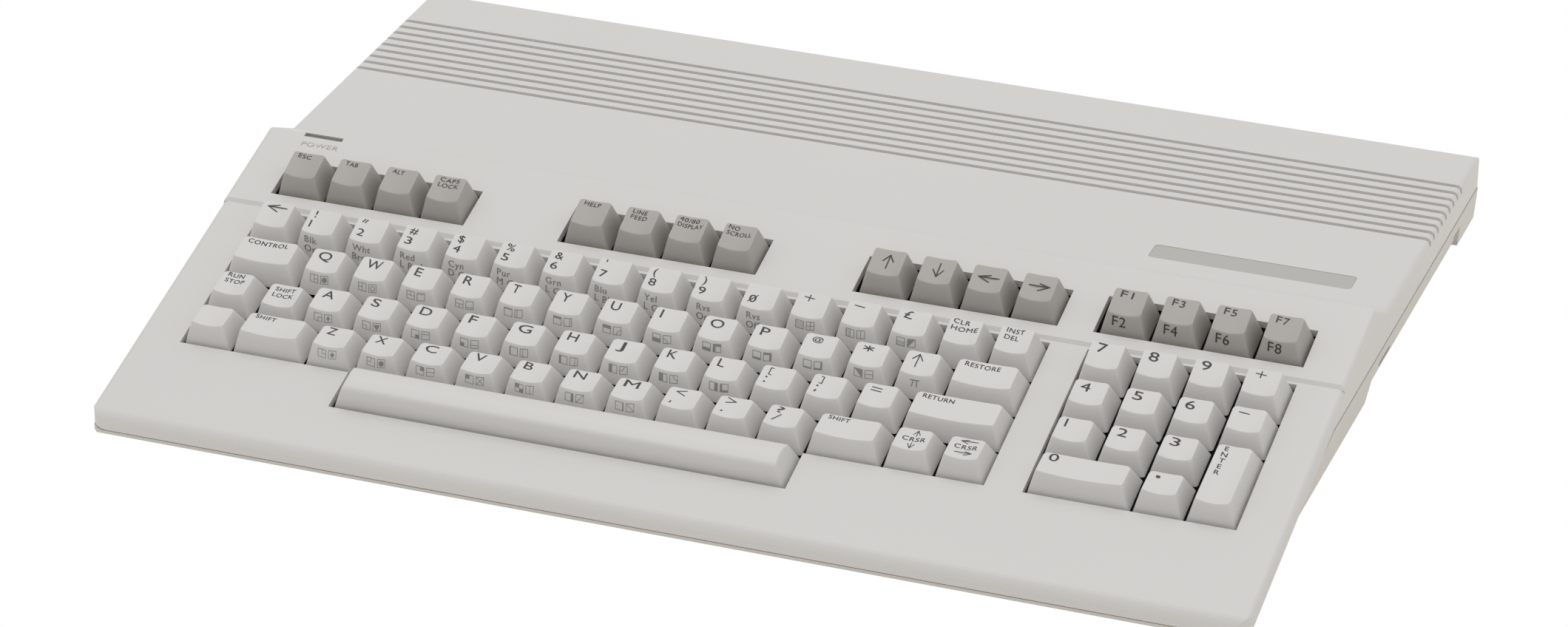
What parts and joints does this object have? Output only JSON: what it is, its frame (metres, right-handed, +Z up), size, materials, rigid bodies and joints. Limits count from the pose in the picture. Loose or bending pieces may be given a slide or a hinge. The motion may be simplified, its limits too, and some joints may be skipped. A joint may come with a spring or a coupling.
{
  "type": "home computer",
  "caption": "Pale grey wedge-shaped vintage home computer with a full keyboard, grey function keys, a number pad and a grooved rear deck.",
  "frame": {"origin": "middle of the footprint, at table level", "axes": "+Z up, +Y to the back, +X to the right of the person typing"},
  "size_m": [0.4298, 0.318, 0.0627],
  "materials": {
    "case_plastic": "fine grain",
    "key_plastic": "satin",
    "grey_key_plastic": "satin",
    "steel": "zinc plated",
    "tinned_steel": "tinned",
    "circuit_board": "solder mask",
    "rubber": "matte",
    "lamp_lens": "clear red",
    "badge_metal": "satin",
    "insulation": "smooth",
    "black_plastic": "moulded"
  },
  "bodies": {
    "computer": {"top_case": "case_plastic", "bottom_case": "case_plastic", "name_badge": "badge_metal", "power_lamp_lens": "lamp_lens", "power_lamp": "lamp_lens", "case_screws": "steel", "rubber_feet": "rubber", "keyboard_frame": "black_plastic", "keyboard_circuit_board": "circuit_board", "key_springs": "steel", "keyboard_screws": "steel", "keyboard_cable": "insulation", "main_circuit_board": "circuit_board", "board_screws": "steel", "shield_top": "tinned_steel", "shield_bottom": "insulation", "logic_chips": "black_plastic", "memory_chips": "black_plastic", "rf_modulator": "tinned_steel", "expansion_socket": "black_plastic", "serial_socket": "black_plastic", "video_socket": "black_plastic", "monitor_socket": "tinned_steel", "joystick_sockets": "tinned_steel", "reset_switch": "black_plastic", "power_switch_body": "black_plastic", "power_socket": "black_plastic"},
    "escape_key_body": {"escape_key": "grey_key_plastic"},
    "tab_key_body": {"tab_key": "grey_key_plastic"},
    "alternate_key_body": {"alternate_key": "grey_key_plastic"},
    "caps_lock_key_body": {"caps_lock_key": "grey_key_plastic"},
    "help_key_body": {"help_key": "grey_key_plastic"},
    "line_feed_key_body": {"line_feed_key": "grey_key_plastic"},
    "column_switch_key_body": {"column_switch_key": "grey_key_plastic"},
    "no_scroll_key_body": {"no_scroll_key": "grey_key_plastic"},
    "up_arrow_key_body": {"up_arrow_key": "grey_key_plastic"},
    "down_arrow_key_body": {"down_arrow_key": "grey_key_plastic"},
    "left_arrow_key_body": {"left_arrow_key": "grey_key_plastic"},
    "right_arrow_key_body": {"right_arrow_key": "grey_key_plastic"},
    "function_1_2_key_body": {"function_1_2_key": "grey_key_plastic"},
    "function_3_4_key_body": {"function_3_4_key": "grey_key_plastic"},
    "function_5_6_key_body": {"function_5_6_key": "grey_key_plastic"},
    "function_7_8_key_body": {"function_7_8_key": "grey_key_plastic"},
    "number_row_keys_body": {"number_row_keys": "key_plastic"},
    "top_letter_keys_body": {"top_letter_keys": "key_plastic"},
    "middle_letter_keys_body": {"middle_letter_keys": "key_plastic"},
    "bottom_letter_keys_body": {"bottom_letter_keys": "key_plastic"},
    "control_key_body": {"control_key": "key_plastic"},
    "restore_key_body": {"restore_key": "key_plastic"},
    "shift_lock_key_body": {"shift_lock_key": "key_plastic"},
    "return_key_body": {"return_key": "key_plastic"},
    "left_shift_key_body": {"left_shift_key": "key_plastic"},
    "right_shift_key_body": {"right_shift_key": "key_plastic"},
    "space_bar_body": {"space_bar": "key_plastic"},
    "numpad_keys_body": {"numpad_keys": "key_plastic"},
    "numpad_enter_key_body": {"numpad_enter_key": "key_plastic"},
    "numpad_zero_key_body": {"numpad_zero_key": "key_plastic"},
    "reset_button_body": {"reset_button": "key_plastic"},
    "power_switch_rocker_body": {"power_switch_rocker": "black_plastic"},
    "channel_switch_slider_body": {"channel_switch_slider": "key_plastic"}
  },
  "joints": [
    {"name": "escape_key_press", "type": "slide", "parent": "computer", "child": "escape_key_body", "axis": [0, -0.2521, 0.9677], "range_m": [-0.0038, 0], "stiffness_N_per_m": 170},
    {"name": "tab_key_press", "type": "slide", "parent": "computer", "child": "tab_key_body", "axis": [0, -0.2521, 0.9677], "range_m": [-0.0038, 0], "stiffness_N_per_m": 170},
    {"name": "alternate_key_press", "type": "slide", "parent": "computer", "child": "alternate_key_body", "axis": [0, -0.2521, 0.9677], "range_m": [-0.0038, 0], "stiffness_N_per_m": 170},
    {"name": "caps_lock_key_press", "type": "slide", "parent": "computer", "child": "caps_lock_key_body", "axis": [0, -0.2521, 0.9677], "range_m": [-0.0038, 0]},
    {"name": "help_key_press", "type": "slide", "parent": "computer", "child": "help_key_body", "axis": [0, -0.2521, 0.9677], "range_m": [-0.0038, 0], "stiffness_N_per_m": 170},
    {"name": "line_feed_key_press", "type": "slide", "parent": "computer", "child": "line_feed_key_body", "axis": [0, -0.2521, 0.9677], "range_m": [-0.0038, 0], "stiffness_N_per_m": 170},
    {"name": "column_switch_key_press", "type": "slide", "parent": "computer", "child": "column_switch_key_body", "axis": [0, -0.2521, 0.9677], "range_m": [-0.0038, 0]},
    {"name": "no_scroll_key_press", "type": "slide", "parent": "computer", "child": "no_scroll_key_body", "axis": [0, -0.2521, 0.9677], "range_m": [-0.0038, 0], "stiffness_N_per_m": 170},
    {"name": "up_arrow_key_press", "type": "slide", "parent": "computer", "child": "up_arrow_key_body", "axis": [0, -0.2521, 0.9677], "range_m": [-0.0038, 0], "stiffness_N_per_m": 170},
    {"name": "down_arrow_key_press", "type": "slide", "parent": "computer", "child": "down_arrow_key_body", "axis": [0, -0.2521, 0.9677], "range_m": [-0.0038, 0], "stiffness_N_per_m": 170},
    {"name": "left_arrow_key_press", "type": "slide", "parent": "computer", "child": "left_arrow_key_body", "axis": [0, -0.2521, 0.9677], "range_m": [-0.0038, 0], "stiffness_N_per_m": 170},
    {"name": "right_arrow_key_press", "type": "slide", "parent": "computer", "child": "right_arrow_key_body", "axis": [0, -0.2521, 0.9677], "range_m": [-0.0038, 0], "stiffness_N_per_m": 170},
    {"name": "function_1_2_key_press", "type": "slide", "parent": "computer", "child": "function_1_2_key_body", "axis": [0, -0.2521, 0.9677], "range_m": [-0.0038, 0], "stiffness_N_per_m": 170},
    {"name": "function_3_4_key_press", "type": "slide", "parent": "computer", "child": "function_3_4_key_body", "axis": [0, -0.2521, 0.9677], "range_m": [-0.0038, 0], "stiffness_N_per_m": 170},
    {"name": "function_5_6_key_press", "type": "slide", "parent": "computer", "child": "function_5_6_key_body", "axis": [0, -0.2521, 0.9677], "range_m": [-0.0038, 0], "stiffness_N_per_m": 170},
    {"name": "function_7_8_key_press", "type": "slide", "parent": "computer", "child": "function_7_8_key_body", "axis": [0, -0.2521, 0.9677], "range_m": [-0.0038, 0], "stiffness_N_per_m": 170},
    {"name": "number_row_keys_press", "type": "slide", "parent": "computer", "child": "number_row_keys_body", "axis": [0, -0.2521, 0.9677], "range_m": [-0.0038, 0], "stiffness_N_per_m": 2720},
    {"name": "top_letter_keys_press", "type": "slide", "parent": "computer", "child": "top_letter_keys_body", "axis": [0, -0.2521, 0.9677], "range_m": [-0.0038, 0], "stiffness_N_per_m": 2210},
    {"name": "middle_letter_keys_press", "type": "slide", "parent": "computer", "child": "middle_letter_keys_body", "axis": [0, -0.2521, 0.9677], "range_m": [-0.0038, 0], "stiffness_N_per_m": 2210},
    {"name": "bottom_letter_keys_press", "type": "slide", "parent": "computer", "child": "bottom_letter_keys_body", "axis": [0, -0.2521, 0.9677], "range_m": [-0.0038, 0], "stiffness_N_per_m": 2210},
    {"name": "control_key_press", "type": "slide", "parent": "computer", "child": "control_key_body", "axis": [0, -0.2521, 0.9677], "range_m": [-0.0038, 0], "stiffness_N_per_m": 170},
    {"name": "restore_key_press", "type": "slide", "parent": "computer", "child": "restore_key_body", "axis": [0, -0.2521, 0.9677], "range_m": [-0.0038, 0], "stiffness_N_per_m": 170},
    {"name": "shift_lock_key_press", "type": "slide", "parent": "computer", "child": "shift_lock_key_body", "axis": [0, -0.2521, 0.9677], "range_m": [-0.0018, 0.002]},
    {"name": "return_key_press", "type": "slide", "parent": "computer", "child": "return_key_body", "axis": [0, -0.2521, 0.9677], "range_m": [-0.0038, 0], "stiffness_N_per_m": 170},
    {"name": "left_shift_key_press", "type": "slide", "parent": "computer", "child": "left_shift_key_body", "axis": [0, -0.2521, 0.9677], "range_m": [-0.0038, 0], "stiffness_N_per_m": 170},
    {"name": "right_shift_key_press", "type": "slide", "parent": "computer", "child": "right_shift_key_body", "axis": [0, -0.2521, 0.9677], "range_m": [-0.0038, 0], "stiffness_N_per_m": 170},
    {"name": "space_bar_press", "type": "slide", "parent": "computer", "child": "space_bar_body", "axis": [0, -0.2521, 0.9677], "range_m": [-0.0038, 0], "stiffness_N_per_m": 300},
    {"name": "numpad_keys_press", "type": "slide", "parent": "computer", "child": "numpad_keys_body", "axis": [0, -0.2521, 0.9677], "range_m": [-0.0038, 0], "stiffness_N_per_m": 2040},
    {"name": "numpad_enter_key_press", "type": "slide", "parent": "computer", "child": "numpad_enter_key_body", "axis": [0, -0.2521, 0.9677], "range_m": [-0.0038, 0], "stiffness_N_per_m": 170},
    {"name": "numpad_zero_key_press", "type": "slide", "parent": "computer", "child": "numpad_zero_key_body", "axis": [0, -0.2521, 0.9677], "range_m": [-0.0038, 0], "stiffness_N_per_m": 170},
    {"name": "reset_button_press", "type": "slide", "parent": "computer", "child": "reset_button_body", "axis": [1, 0, 0], "range_m": [-0.0015, 0], "stiffness_N_per_m": 700},
    {"name": "power_switch_rock", "type": "hinge", "parent": "computer", "child": "power_switch_rocker_body", "pos_m": [0.1981, 0.097, 0.0201], "axis": [0, 0, 1], "range_deg": [0, 14]},
    {"name": "channel_switch_slide", "type": "slide", "parent": "computer", "child": "channel_switch_slider_body", "axis": [1, 0, 0], "range_m": [0, 0.004]}
  ]
}
